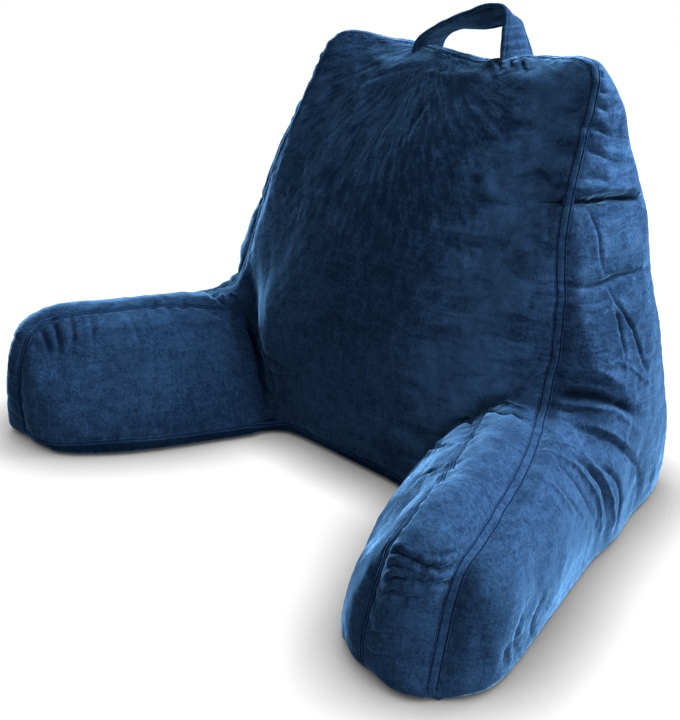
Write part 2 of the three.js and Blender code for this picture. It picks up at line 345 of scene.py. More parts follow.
# %% Easing the outline
SETTLED = [
    # place, point in the picture, how far out (in if below 0) and how wide, in millimetres
    ("left nose, lower corner", (12, 430), -7, 42),
    ("left nose, end", (6, 380), -4, 34),
    ("left nose, upper corner", (22, 322), -7, 30),
    ("left arm, top", (160, 292), 9, 60),
    ("left arm, inner wall", (125, 415), 14, 85),
    ("left arm, root", (233, 273), -9, 20),
    ("front, lower left", (278, 325), 14, 45),
    ("strap's left end", (418, 62), 4, 14),
    ("top under the strap", (476, 60), -5, 22),
    ("back, left edge", (243, 240), -3, 20),
    ("back, left corner", (328, 44), -8, 26),
    ("back, right corner", (606, 62), -4, 20),
    ("side, high", (623, 112), 3, 24),
    ("side, middle", (656, 290), -3, 40),
    ("right arm, outer root", (640, 508), -4, 48),
    ("right arm, outer side", (552, 622), 8, 46),
    ("right nose, brow", (405, 560), 8, 34),
    ("right nose, foot", (440, 692), 6, 44),
    ("right nose, inner foot", (362, 664), 4, 24),
    ("right nose, inner side", (341, 615), -3, 34),
    ("right arm, inner root", (391, 512), -10, 34),
]
LOW_DOWN = 60 * MM  # places lower than this only move level


def cover_tree():
    """The cover as it is now, for finding points on it."""
    return BVHTree.FromObject(cover, bpy.context.evaluated_depsgraph_get())


def laid_on(tree, points):
    """Points laid onto the cover, with the cover's normals there."""
    found = [tree.find_nearest(Vector(p)) for p in points]
    return np.array([f[0] for f in found]), np.array([f[1] for f in found])


def seen_on_cover(px, py):
    """Where a line of sight meets the cover, or comes nearest to it beside the outline."""
    sight = sight_line(px, py)
    hit = solid_tree.ray_cast(eye.location, sight)[0]
    return tuple(hit or solid_tree.find_nearest(eye.location + EYE_DISTANCE * sight)[0])


solid_tree = cover_tree()
skin, facing = points_of(cover.data), normals_of(cover.data)
move = np.zeros_like(skin)
for _, spot, out, width in SETTLED:
    centre = np.array(seen_on_cover(*spot))
    weight = np.exp(-(sizes(skin - centre) / (width * MM)) ** 2)
    way = (facing * weight[:, None]).sum(axis=0)
    way[2] *= centre[2] > LOW_DOWN
    move += np.outer(weight, out * MM * way / np.linalg.norm(way))
skin = skin + move
print("eased by up to", round(sizes(move).max() / MM, 1), "mm")

# %% Rounder feet for the noses
NOSE_FEET = in_frame([(285, -223, 12), (-285, -223, 12)])
FOOT_REACH = 38 * MM
FOOT_ROUNDS = 30

rounded = relaxed(skin, edges_of(cover.data), FOOT_ROUNDS)
apart = np.min([sizes(skin - foot) for foot in NOSE_FEET], axis=0)
share = np.exp(-(apart / FOOT_REACH) ** 2)[:, None]
put_points(cover.data, skin + share * (rounded - skin))
print("feet rounded by up to", round((share * np.abs(rounded - skin)).max() / MM, 1), "mm")

# %% [markdown]
# ## Folds
# Filled velour folds where seams pull and where the arm leaves the backrest. Each fold is a line
# drawn over the photograph, carried onto the cover along the lines of sight. The back isn't in the
# photograph, so its few soft folds are a guess. The net is made finer beside the lines, and the
# cloth is pressed in along troughs and raised along ridges. Each point keeps how deep it was
# pressed, and the shader paints shade into the folds by that depth.

# %% Where the folds lie
FOLDS = {
    # place: how much of its folds the other side has, and for each fold its depth (raised if
    # below 0), half width and lip in millimetres, and its points in the picture
    "slit across the side": (0.0, [
        (2.4, 3.0, 1.0, (533, 204), (549, 202), (569, 201)),
        (16.0, 3.8, 1.2, (561, 202), (589, 202), (611, 199), (632, 198), (640, 198)),
        (-4.5, 7.5, 0, (566, 191), (590, 189), (612, 187), (630, 186)),
    ]),
    "crease below the slit": (0.8, [
        (4.6, 3.4, 1.6, (566, 287), (581, 287), (600, 283), (618, 276), (648, 268)),
    ]),
    "lines down the side": (0.6, [
        (2.0, 2.4, 0.8, (587, 210), (597, 233), (600, 252), (604, 274)),
        (2.4, 2.2, 1.1, (606, 287), (621, 309), (633, 331), (640, 356), (645, 372)),
        (2.0, 2.2, 1.0, (615, 307), (622, 339), (625, 357)),
    ]),
    "rim of the side": (0.7, [
        (-1.6, 2.8, 0, (609, 358), (630, 368), (650, 386)),
    ]),
    "arm root, high": (0.4, [
        (-1.6, 3.2, 0, (559, 371), (592, 369), (612, 378), (633, 390)),
        (3.2, 3.6, 0, (556, 380), (580, 380), (602, 384), (622, 394)),
        (9.0, 5.4, 0, (548, 391), (567, 393), (590, 396), (605, 399), (622, 405), (638, 416)),
        (-3.4, 3.2, 0, (548, 401), (567, 404), (590, 408), (613, 412), (622, 418), (634, 428)),
        (3.6, 2.8, 0, (552, 407), (567, 409), (582, 410), (600, 414)),
    ]),
    "arm root, middle": (0.5, [
        (-2.8, 3.0, 0, (584, 423), (605, 430), (618, 437), (629, 446)),
        (3.4, 3.6, 0, (572, 427), (588, 431), (605, 438), (619, 446), (631, 457), (638, 468),
         (639, 480)),
        (-1.4, 2.8, 0, (556, 443), (573, 446), (584, 449)),
    ]),
    "arm root, low": (0.6, [
        (-3.2, 3.0, 0, (543, 450), (555, 453), (567, 460), (576, 467), (583, 476), (590, 487),
         (596, 498), (599, 510), (600, 526)),
        (4.6, 3.2, 0, (574, 456), (587, 466), (598, 481), (604, 496), (605, 518)),
        (-2.8, 2.8, 0, (578, 450), (592, 465), (601, 476), (608, 490), (612, 503), (613, 518)),
        (4.4, 3.6, 0, (597, 464), (608, 471), (617, 480), (621, 490), (621, 505), (617, 520)),
        (3.4, 3.8, 0, (556, 462), (570, 474), (582, 490), (590, 507), (595, 522)),
        (-2.4, 3.0, 0, (546, 480), (558, 492), (567, 505), (573, 518)),
        (3.2, 3.2, 0, (560, 487), (568, 495), (577, 506), (583, 519)),
    ]),
    "left edge of the front": (0.6, [
        (7.0, 4.6, 1.0, (246, 310), (252, 335), (259, 365), (265, 393), (269, 414)),
    ]),
    "slit before the arm root": (0.8, [
        (-2.6, 2.6, 0, (480, 411), (490, 407), (513, 406), (526, 409), (534, 414)),
        (4.4, 2.4, 0, (485, 415), (500, 415), (512, 414), (520, 417), (528, 419)),
    ]),
    "pinches along the arm top": (0.6, [
        (-2.0, 2.4, 0, (456, 417), (467, 416), (474, 421)),
        (3.4, 2.6, 0, (450, 426), (462, 421), (473, 426)),
        (2.4, 2.6, 1.0, (428, 452), (438, 446), (448, 444)),
        (2.0, 2.6, 1.0, (420, 474), (429, 469), (438, 466)),
    ]),
    "brow of the nose": (0.25, [
        (4.2, 2.6, 1.8, (388, 554), (396, 552), (405, 556), (414, 557)),
        (4.6, 2.6, 2.0, (404, 563), (414, 561), (425, 565), (436, 563)),
        (4.2, 2.6, 1.8, (418, 572), (430, 568), (441, 569), (451, 564)),
        (3.8, 2.6, 1.6, (386, 568), (394, 565), (403, 569)),
        (4.2, 2.6, 1.8, (384, 582), (392, 578), (402, 579), (411, 574)),
        (3.8, 2.6, 1.6, (404, 587), (414, 581), (424, 582), (433, 578)),
        (3.4, 2.6, 1.4, (430, 588), (439, 583), (449, 582)),
        (3.0, 2.6, 1.2, (382, 594), (391, 591), (400, 593)),
        (2.4, 2.6, 0.9, (398, 603), (408, 598), (420, 599)),
        (2.4, 2.6, 0.9, (437, 557), (446, 554), (455, 550)),
    ]),
    "face of the nose": (0.6, [
        (1.6, 2.4, 0.5, (360, 632), (379, 633), (396, 636)),
        (1.6, 2.6, 0.6, (362, 646), (376, 655), (394, 657), (411, 652), (426, 646)),
        (1.6, 2.4, 0.6, (447, 637), (461, 637), (476, 636)),
    ]),
    "puckers at the corner": (0.8, [
        (2.6, 2.8, 1.0, (596, 73), (606, 77)),
        (3.6, 3.2, 1.4, (597, 88), (608, 92)),
        (3.4, 3.2, 1.5, (595, 104), (603, 106), (610, 110)),
        (4.0, 3.4, 1.8, (593, 126), (602, 129), (612, 135)),
        (3.0, 3.4, 1.6, (588, 150), (600, 153), (612, 160)),
        (2.6, 3.4, 1.4, (582, 173), (596, 176), (610, 181)),
    ]),
    "under the strap": (0.0, [
        (1.6, 2.2, 1.0, (489, 59), (491, 71)),
        (1.8, 2.2, 1.0, (499, 60), (501, 74)),
        (1.6, 2.2, 1.0, (511, 61), (512, 72)),
        (1.4, 2.2, 0.9, (522, 62), (525, 72)),
        (0.9, 3.4, 0.5, (436, 66), (400, 70), (352, 85)),
        (1.1, 3.4, 0.6, (438, 74), (405, 90), (366, 116)),
        (0.9, 3.4, 0.5, (444, 82), (424, 108), (402, 146)),
    ]),
    "across the front": (0.5, [
        (0.9, 3.4, 0.5, (418, 230), (448, 226), (483, 231), (512, 229)),
        (1.2, 3.4, 0.7, (448, 241), (482, 246), (514, 240), (552, 232)),
        (0.7, 3.4, 0.4, (426, 252), (450, 256), (474, 253)),
        (0.9, 3.4, 0.5, (474, 263), (503, 259), (538, 249)),
    ]),
    "lower left of the front": (0.0, [
        (1.6, 2.6, 1.4, (254, 345), (262, 358), (267, 373)),
        (1.6, 2.6, 1.4, (263, 352), (273, 362), (284, 367)),
        (1.4, 2.6, 1.2, (270, 372), (285, 376), (302, 374)),
        (1.4, 2.6, 1.2, (260, 380), (268, 390), (276, 402)),
    ]),
    "left arm root": (0.0, [
        (1.6, 2.4, 1.2, (205, 292), (212, 304)),
        (1.8, 2.4, 1.2, (214, 290), (219, 303)),
        (1.8, 2.4, 1.2, (224, 289), (228, 304)),
        (1.6, 2.4, 1.0, (232, 291), (236, 306)),
    ]),
    "above the hem": (0.8, [
        (1.2, 4.0, 0.7, (507, 664), (508, 651), (513, 641)),
        (1.8, 4.4, 0.9, (520, 655), (519, 638), (525, 619), (528, 607)),
        (1.6, 4.2, 0.8, (533, 641), (535, 623), (541, 605)),
    ]),
    "left nose": (0.0, [
        (2.0, 3.0, 1.2, (38, 327), (46, 340), (50, 356)),
        (2.0, 3.0, 1.2, (52, 320), (58, 336), (60, 352)),
        (1.6, 3.0, 1.0, (70, 317), (73, 332), (74, 346)),
        (1.4, 3.0, 0.9, (90, 315), (92, 328), (92, 340)),
    ]),
}
BACK_FOLDS = {
    # place: the same for each fold, with points (x, z) on the back, in millimetres
    "below the strap's ends": [
        (2.0, 6.0, 1.2, (-72, 412), (-92, 380), (-124, 338)),
        (1.8, 6.0, 1.1, (58, 412), (76, 384), (92, 346)),
    ],
    "from the upper corners": [
        (2.2, 7.0, 1.3, (-166, 398), (-150, 356), (-126, 318)),
        (2.0, 7.0, 1.2, (168, 396), (160, 350), (142, 302)),
    ],
    "from the lower corners": [
        (2.6, 7.5, 1.6, (-222, 34), (-188, 78), (-150, 106)),
        (2.0, 6.5, 1.2, (-236, 76), (-208, 110), (-182, 124)),
        (2.6, 7.5, 1.6, (226, 30), (194, 72), (162, 98)),
        (2.0, 6.5, 1.2, (240, 84), (216, 118), (196, 136)),
    ],
    "sag in the middle": [
        (1.6, 9.0, 1.0, (-96, 152), (-34, 134), (44, 138), (100, 158)),
    ],
}
BEHIND = 1.0  # a place well behind the pillow to look from

solid_tree = cover_tree()


def seen_from_behind(x, z):
    """The point of the back at this place."""
    return tuple(solid_tree.ray_cast(Vector((x * MM, BEHIND, z * MM)), Vector((0, -1, 0)))[0])


def snapped(line):
    """A line laid onto the cover."""
    return laid_on(solid_tree, line)[0]


folds = []
placed = [(seen_on_cover, *group) for group in FOLDS.values()]
placed += [(seen_from_behind, 0, group) for group in BACK_FOLDS.values()]
for place_of, far, group in placed:
    for depth, width, lip, *spots in group:
        line = snapped(smooth_line([place_of(*spot) for spot in spots]))
        folds.append((line, depth * MM, width * MM, lip * MM))
        if far > 0:
            folds.append((snapped(mirrored(line)), far * depth * MM, width * MM, far * lip * MM))
print(len(folds), "folds,", round(sum(len(f[0]) for f in folds) * LINE_STEP, 2), "m in all")

# %% A finer net beside the lines
REFINE_REACH = 10.5 * MM
SHARP = 3.2 * MM  # folds on the right narrower than this get a net finer still
SHARP_REACH = 6 * MM
ROUND_OFF = 0.6  # how far new points follow the cover's curve


def refine_near(piece, lines, reach):
    """Halves the faces that lie within reach of the lines."""
    net = bmesh.new()
    net.from_mesh(piece.data)
    near = nearest_on(points_of(piece.data), np.vstack(lines))[1] < reach
    net.verts.ensure_lookup_table()
    edges = [e for e in net.edges if near[e.verts[0].index] and near[e.verts[1].index]]
    bmesh.ops.subdivide_edges(net, edges=edges, cuts=1, use_grid_fill=True, smooth=ROUND_OFF)
    bmesh.ops.triangulate(net, faces=[f for f in net.faces if len(f.verts) > 4])
    net.to_mesh(piece.data)
    net.free()
    piece.data.update()


seam_lines = [snapped(line) for line in (FELLED_LINE, *PLAIN_LINES, HEM_LINE)]
refine_near(cover, [f[0] for f in folds] + seam_lines, REFINE_REACH)
refine_near(cover, [f[0] for f in folds if f[0][:, 0].mean() > 0 and f[2] < SHARP], SHARP_REACH)
print("finer net:", len(cover.data.vertices), "points")

# %% Press the folds in
FOLD_REACH, END_REACH = 5, 2  # how far a fold reaches beside its line and past its ends
FOLD_ENDS, FOLD_FADE = 0.03, 0.6  # where and how suddenly it fades along the line
LIP_PLACE, LIP_WIDTH = 2.1, 1.2  # where its lips are, in half widths as well
DRAW_IN, DRAW_WIDTH = 0.35, 1.6  # how much the cloth is drawn towards the line
LAY_ROUNDS = 6
FOLD_SHADE = "painted fold shade"  # for the shader's painted shade: how deep in a fold each point lies, from 0 to 1
FOLD_SHADE_FROM, FOLD_SHADE_TO = 0.6 * MM, 5.5 * MM


def near_line(points, line, reach):
    """Points within reach of a line: which they are, their offsets from it, its direction there
    and how far along it they lie, from 0 to 1."""
    low, high = line.min(axis=0) - reach, line.max(axis=0) + reach
    which = np.flatnonzero(((points > low) & (points < high)).all(axis=1))
    place, apart = nearest_on(points[which], line)
    which, place = which[apart < reach], place[apart < reach]
    along = unit(np.gradient(line, axis=0))
    return which, points[which] - line[place], along[place], place / (len(line) - 1)


def moved(points, which, by):
    """The movement of all the points when some of them move."""
    move = np.zeros_like(points)
    move[which] = by
    return move


def press(points, normals, line, depth, width, lip):
    """The movement that presses a fold into the cover."""
    which, offset, along, share = near_line(points, line, FOLD_REACH * width)
    side = np.cross(along, normals[which])
    across = (offset * side).sum(axis=1) / width
    strength = np.sin(np.pi * share.clip(FOLD_ENDS, 1 - FOLD_ENDS)) ** FOLD_FADE
    beyond = np.exp(-((offset * along).sum(axis=1) / (END_REACH * width)) ** 2)
    lips = np.exp(-((np.abs(across) - LIP_PLACE) / LIP_WIDTH) ** 2)
    rise = lip * lips - depth * np.exp(-across ** 2)
    draw = -DRAW_IN * across * width * np.exp(-(across / DRAW_WIDTH) ** 2)
    push = normals[which] * rise[:, None] + side * draw[:, None]
    return moved(points, which, push * (strength * beyond)[:, None])


skin = points_of(cover.data)
lay = unit(relaxed(normals_of(cover.data), edges_of(cover.data), LAY_ROUNDS))
move = sum(press(skin, lay, *fold) for fold in folds)
put_points(cover.data, skin + move)
depth = -(move * lay).sum(axis=1)
# painted shade: how much darker each point is painted, by how deep it lies in a fold
fold_shade_share = np.clip((depth - FOLD_SHADE_FROM) / (FOLD_SHADE_TO - FOLD_SHADE_FROM), 0, 1)
cover.data.attributes.new(FOLD_SHADE, "FLOAT", "POINT").data.foreach_set("value", fold_shade_share)
print("deepest fold", round(sizes(move).max() / MM, 1), "mm")

# %% [markdown]
# ## Puckers and lumps
# Thread is shorter than the cloth it holds, so velour puckers in small waves beside every seam.
# Loose filling also leaves soft lumps under the cover. Both are sums of a few waves with seeded
# directions, so they come out the same each time.

# %% Soft relief from a few waves
PITCH_SPREAD = (0.7, 1.5)  # the shortest and the longest wave, in wavelengths


def waves_at(points, wavelength, seed, count=28):
    """A random relief, about -1 to 1, with bumps about one wavelength apart."""
    draw = np.random.default_rng(seed)
    heading = unit(draw.normal(size=(count, points.shape[1])))
    pitch = wavelength * draw.uniform(*PITCH_SPREAD, count)
    phase = draw.uniform(0, 2 * np.pi, count)
    ripples = np.sin(points @ (heading * (2 * np.pi / pitch)[:, None]).T + phase)
    return ripples.sum(axis=1) * math.sqrt(2 / count)


def combed(points, grain, ratio):
    """Points squeezed along the grain, so that a relief made from them is drawn out along it."""
    grain = np.array(grain, float) / np.linalg.norm(grain)
    return points - (1 - 1 / ratio) * np.outer(points @ grain, grain)


PUCKERS = [
    # line, height, reach and pitch in millimetres
    (seam_lines[0], 0.45, 9, 12),
    (seam_lines[1], 0.55, 12, 13),
    (seam_lines[2], 0.8, 14, 13),
    (seam_lines[3], 0.5, 10, 15),
]
PUCKER_END = 2.6  # puckers end this many reaches away
PUCKER_DRAWN = 0.35  # and are drawn out that way
PUCKER_GROUP, PUCKER_STEADY, PUCKER_VARYING = 9, 0.55, 0.45  # they come in groups
PUCKER_SEED = 40


def puckers(points, normals, line, height, reach, pitch, seed):
    """Small waves beside a seam, strongest close to it."""
    which, offset, _, share = near_line(points, line, PUCKER_END * reach)
    apart = sizes(offset)
    run = np.stack([share * len(line) * LINE_STEP, apart * PUCKER_DRAWN], axis=1)
    group = PUCKER_STEADY + PUCKER_VARYING * waves_at(run, PUCKER_GROUP * pitch, seed + 1)
    rise = height * waves_at(run, pitch, seed) * group * np.exp(-(apart / reach) ** 2)
    return moved(points, which, normals[which] * rise[:, None])


LUMP, LUMP_SIZE, LUMP_SEED = 1.3 * MM, 110 * MM, 7
CRINKLE, CRINKLE_SIZE, CRINKLE_SEED = 0.3 * MM, 17 * MM, 8
CRINKLE_GRAIN, CRINKLE_DRAWN, CRINKLE_WAVES = (0.5, -0.2, -1), 2.5, 60
RELIEF_FROM, RELIEF_OVER = 6 * MM, 20 * MM  # heights where it starts and over which it grows

skin = points_of(cover.data)
above = np.clip((skin[:, 2] - RELIEF_FROM) / RELIEF_OVER, 0, 1)[:, None]
grained = combed(skin, CRINKLE_GRAIN, CRINKLE_DRAWN)
move = lay * (LUMP * waves_at(skin, LUMP_SIZE, LUMP_SEED))[:, None]
move += lay * (CRINKLE * waves_at(grained, CRINKLE_SIZE, CRINKLE_SEED, CRINKLE_WAVES))[:, None]
for k, (line, height, reach, pitch) in enumerate(PUCKERS):
    move += puckers(skin, lay, line, height * MM, reach * MM, pitch * MM, PUCKER_SEED + 2 * k)
put_points(cover.data, skin + move * above)
print("relief up to", round(sizes(move).max() / MM, 1), "mm")

# %% [markdown]
# ## Seams
# A felled seam is a strip of doubled cloth with a row of stitches along each edge, and a plain seam
# is a fine furrow between two edges. Either could be pushed out of the cover's own net, but its
# faces don't run along the seams, so the edges would be ragged. Narrow strips have clean edges.

# %% Strips along the seams
FELL_PROFILE = [
    # offset from the seam line towards the outer panel, height over the cover, in millimetres
    (-6.0, -1.0), (-5.3, -0.1), (-4.4, 0.1), (-3.7, -1.2), (-3.0, 0.1), (-2.0, 0.35), (0.0, 0.4),
    (2.0, 0.35), (3.0, 0.15), (3.7, -1.0), (4.4, 0.2), (5.0, 0.2), (5.4, 0.0), (6.0, -1.0),
]
PLAIN_PROFILE = [
    (-3.7, -1.1), (-2.6, 0.0), (-1.5, 0.2), (-0.8, -0.1), (0.0, -1.5), (0.8, -0.1), (1.5, 0.2),
    (2.6, 0.0), (3.7, -1.1),
]
FURROW = -1.0  # places of a profile as deep as this are furrows
STRIP_UNDER = -3.6  # underside of the strips below the cover
STRIP_TAPER = 0.8  # and its width, as a share of the top's
FELL_BED = (2.0 * MM, 4.7 * MM)  # how deep the cover lies under a felled seam, and how far beside
PLAIN_BED = (2.5 * MM, 3.0 * MM)
STITCH_ROWS = (-3.7, 3.7)
CENTRE_ROUNDS, NORMAL_ROUNDS, HEADING_ROUNDS, EDGE_ROUNDS = 8, 12, 6, 4


def smoothed_run(values, rounds):
    """Values along a line, evened out."""
    for _ in range(rounds):
        values[1:-1] = 0.25 * values[:-2] + 0.5 * values[1:-1] + 0.25 * values[2:]
    return values


def seam_axes(tree, line):
    """The line on the cover, its direction, its side and its normal."""
    centre, normal = laid_on(tree, line)
    centre = smoothed_run(centre, CENTRE_ROUNDS)
    normal = unit(smoothed_run(normal, NORMAL_ROUNDS))
    along = unit(smoothed_run(np.gradient(centre, axis=0), HEADING_ROUNDS))
    return centre, along, np.cross(along, normal), normal


def tube_faces(rings, around):
    """Faces between rings of points, with an end face on the first and the last ring."""
    i, j = np.meshgrid(np.arange(rings - 1), np.arange(around), indexing="ij")
    a = i * around + j
    b = i * around + (j + 1) % around
    quads = np.stack([a, b, b + around, a + around], axis=-1).reshape(-1, 4)
    ends = [list(range(around))[::-1], list(range((rings - 1) * around, rings * around))]
    return [*quads.tolist(), *ends]


def strip(tree, axes, profile):
    """Points and faces of a strip along a seam."""
    centre, _, side, normal = axes
    columns = []
    for offset, height in profile:
        on, _ = laid_on(tree, centre + side * offset * MM)
        columns.append(smoothed_run(on, EDGE_ROUNDS) + normal * height * MM)
    for offset, _ in profile[::-1]:
        columns.append(centre + side * offset * STRIP_TAPER * MM + normal * STRIP_UNDER * MM)
    rings = np.stack(columns, axis=1)
    return rings.reshape(-1, 3), tube_faces(len(rings), rings.shape[1])


def shade_furrows(piece, profile):
    """Paints shade into the furrows of a strip: they get its second material, the dark thread."""
    around = 2 * len(profile)
    deep = [k for k, (_, height) in enumerate(profile) if height <= FURROW]
    sides = {k - 1 for k in deep} | set(deep)
    for k, face in enumerate(piece.data.polygons):
        if len(face.vertices) == 4:
            face.material_index = int(k % around in sides)


def joined(name, parts):
    """One piece made of several sets of points and faces."""
    points, faces, start = [], [], 0
    for some, their_faces in parts:
        points.append(some)
        faces += [[k + start for k in face] for face in their_faces]
        start += len(some)
    return new_piece(name, np.vstack(points), faces)


def bedded(points, normals, line, depth, width):
    """The movement that lets the cover give way under a seam."""
    which, offset, _, _ = near_line(points, line, 2 * width)
    give = depth * np.exp(-(sizes(offset) / width) ** 4)
    return moved(points, which, -normals[which] * give[:, None])


tree = cover_tree()
fell_axes = seam_axes(tree, FELLED_LINE)
plain_axes = [seam_axes(tree, line) for line in (*PLAIN_LINES, HEM_LINE)]
felled_seam = joined("felled_seam", [strip(tree, fell_axes, FELL_PROFILE)])
plain_seams = joined("plain_seams", [strip(tree, axes, PLAIN_PROFILE) for axes in plain_axes])
skin = points_of(cover.data)
move = bedded(skin, lay, fell_axes[0], *FELL_BED)
for axes in plain_axes:
    move += bedded(skin, lay, axes[0], *PLAIN_BED)
put_points(cover.data, skin + move * above)
for seam in (felled_seam, plain_seams):
    print(seam.name, len(seam.data.polygons), "faces")

# %% Stitches
STITCH = 2.7 * MM
STITCH_PITCH = 3.7 * MM
THREAD = 0.34 * MM
STITCH_SHAPE = [(-0.5, 0.35), (-0.3, 0.95), (0.3, 0.95), (0.5, 0.35)]  # along, thickness
STITCH_RISE = 0.25  # how far a stitch's middle rises, in threads
STITCH_SUNK = 0.1 * MM  # how far the rows lie below the cover
SIDES = 5


def stitches(name, rows):
    """One small capsule of thread for each stitch in the rows."""
    centres, along, side, normal = [np.vstack(group) for group in zip(*rows)]
    print(name, len(centres))
    turn = np.linspace(0, 2 * np.pi, SIDES, endpoint=False)
    rings = []
    for place, thick in STITCH_SHAPE:
        middle = centres + along * place * STITCH + normal * (STITCH_RISE - abs(place)) * THREAD
        for angle in turn:
            spoke = side * math.cos(angle) + normal * math.sin(angle)
            rings.append(middle + THREAD * thick * spoke)
    points = np.stack(rings, axis=1)
    shape = tube_faces(len(STITCH_SHAPE), SIDES)
    return joined(name, [(capsule, shape) for capsule in points])


def stitch_row(line, along, side, normal):
    """Places for stitches in a row along a line."""
    length = length_along(line)
    at = np.arange(STITCH_PITCH, length[-1] - STITCH_PITCH, STITCH_PITCH)
    return [sampled(values, length, at) for values in (line, along, side, normal)]


rows = []
for offset in STITCH_ROWS:
    centre, along, side, normal = fell_axes
    on, _ = laid_on(tree, centre + side * offset * MM)
    sunk = smoothed_run(on, EDGE_ROUNDS) - normal * STITCH_SUNK
    rows.append(stitch_row(sunk, along, side, normal))
seam_thread = stitches("seam_stitches", rows)

# %% [markdown]
# ## The strap
# The carry strap is a doubled band of the same velour, caught in the top seam at both ends. It has
# flopped back, so its front edge stands higher than its rear edge. It is swept along the rows of
# the pattern, with turned edges and a row of stitches beside each.

# %% The strap
STRAP_ROWS = [
    # front edge (x, z), rear edge (x, z), in millimetres, from the right end to the left end
    ((52, 402), (62, 396)),
    ((52, 428), (58, 424)),
    ((53, 452), (48, 444)),
    ((53, 474), (37, 457)),
    ((37, 477), (19, 451)),
    ((10, 470), (-12, 446)),
    ((-20, 458), (-44, 443)),
    ((-50, 444), (-62, 434)),
    ((-70, 428), (-71, 416)),
    ((-77, 402), (-75, 394)),
]
STRAP_FRONT = 186
STRAP_WIDTH = 44
STRAP_PROFILE = [
    # share of the width from the front edge, half thickness in millimetres, up to the middle
    (0.0, 0.7), (0.015, 1.7), (0.05, 2.3), (0.085, 2.0), (0.10, 1.5), (0.115, 2.0), (0.17, 2.4),
    (0.3, 2.3), (0.5, 2.2),
]
STRAP_PROFILE += [(1 - share, thick) for share, thick in STRAP_PROFILE[-2::-1]]
STRAP_STITCH_ROWS = (0.10, 0.90)
STRAP_STITCH_HEIGHT = 1.75 * MM
STRAP_STEPS = 130
STRAP_RIPPLE, RIPPLE_SIZE, RIPPLE_SEED = 0.35 * MM, 22 * MM, 21


def strap_edge(side, depth):
    """One edge of the strap: side 0 is the front edge, 1 the rear edge."""
    points = [(row[side][0], depth, row[side][1]) for row in STRAP_ROWS]
    return evenly(smooth_line(in_frame(points)), STRAP_STEPS)


front_edge = strap_edge(0, STRAP_FRONT)
rear_edge = strap_edge(1, STRAP_FRONT + STRAP_WIDTH)
strap_middle = (front_edge + rear_edge) / 2
strap_across = rear_edge - front_edge
strap_along = unit(np.gradient(strap_middle, axis=0))
strap_out = unit(np.cross(strap_across, strap_along))


def on_strap(share, height):
    return front_edge + strap_across * share + strap_out * height


ring = [on_strap(share, thick * MM) for share, thick in STRAP_PROFILE]
ring += [on_strap(share, -thick * MM) for share, thick in STRAP_PROFILE[::-1]]
band = np.stack(ring, axis=1)
ripple = waves_at(band.reshape(-1, 3), RIPPLE_SIZE, RIPPLE_SEED).reshape(band.shape[:2])
band = band + strap_out[:, None, :] * (STRAP_RIPPLE * ripple)[:, :, None]
strap = new_piece("strap", band.reshape(-1, 3), tube_faces(len(band), band.shape[1]))

# %% Stitches along the strap
rows = []
for share in STRAP_STITCH_ROWS:
    for face in (1, -1):
        line = on_strap(share, face * STRAP_STITCH_HEIGHT)
        rows.append(stitch_row(line, strap_along, unit(strap_across), face * strap_out))
strap_thread = stitches("strap_stitches", rows)

# %% [markdown]
# ## Velour
# The pile of velour is a forest of short fibres. It is dark where we look straight into it and
# bright where light grazes it, and wherever a hand has brushed it, it changes tone. The shader is
# a rough base with a blue sheen; noise at several sizes tilts the pile and shifts its tone. On the
# front the pile is brushed into a fan near the strap's left end, where the pillow is held; a band
# on the right is painted lighter, as painted light. The sides are creased most, and the strap
# least.

# %% Shader sums as Python
class Wire:
    """A socket in a material, used in sums like a number."""

    def __init__(self, tree, socket=None):
        self.tree = tree
        self.socket = socket

    def node(self, kind, settings=None, sockets=None, output=0):
        """Adds a node: its settings first, then what its sockets hold or are fed by."""
        made = self.tree.nodes.new(kind)
        for key, value in (settings or {}).items():
            setattr(made, key, value)
        for key, value in (sockets or {}).items():
            if isinstance(value, Wire):
                self.tree.links.new(value.socket, made.inputs[key])
            else:
                made.inputs[key].default_value = value
        return Wire(self.tree, made.outputs[output] if made.outputs else None)

    def sum_with(self, operation, first, second):
        return self.node("ShaderNodeMath", {"operation": operation}, {0: first, 1: second})

    def __add__(self, other):
        return self.sum_with("ADD", self, other)

    __radd__ = __add__

    def __sub__(self, other):
        return self.sum_with("SUBTRACT", self, other)

    def __mul__(self, other):
        return self.sum_with("MULTIPLY", self, other)

    __rmul__ = __mul__

    def __abs__(self):
        return self.sum_with("ABSOLUTE", self, 0.0)

    def part(self, axis):
        """One part of a vector: 0 is x, 1 is y and 2 is z."""
        return self.node("ShaderNodeSeparateXYZ", {}, {0: self}, axis)

    def ramp(self, low, high, first=0.0, last=1.0, course="LINEAR"):
        """Goes from first to last while this value goes from low to high."""
        return self.node("ShaderNodeMapRange", {"interpolation_type": course}, {
            "Value": self, "From Min": low, "From Max": high, "To Min": first, "To Max": last})

    def blend(self, first, second):
        """Two colours mixed by this value."""
        return self.node("ShaderNodeMix", {"data_type": "RGBA"}, {0: self, 6: first, 7: second}, 2)


def new_material(name):
    material = bpy.data.materials.new(name)
    material.use_nodes = True
    material.node_tree.nodes.clear()
    return material, Wire(material.node_tree)


def put_on(material, shader):
    """A material with a shader on its surface."""
    shader.node("ShaderNodeOutputMaterial", {}, {"Surface": shader})
    return material


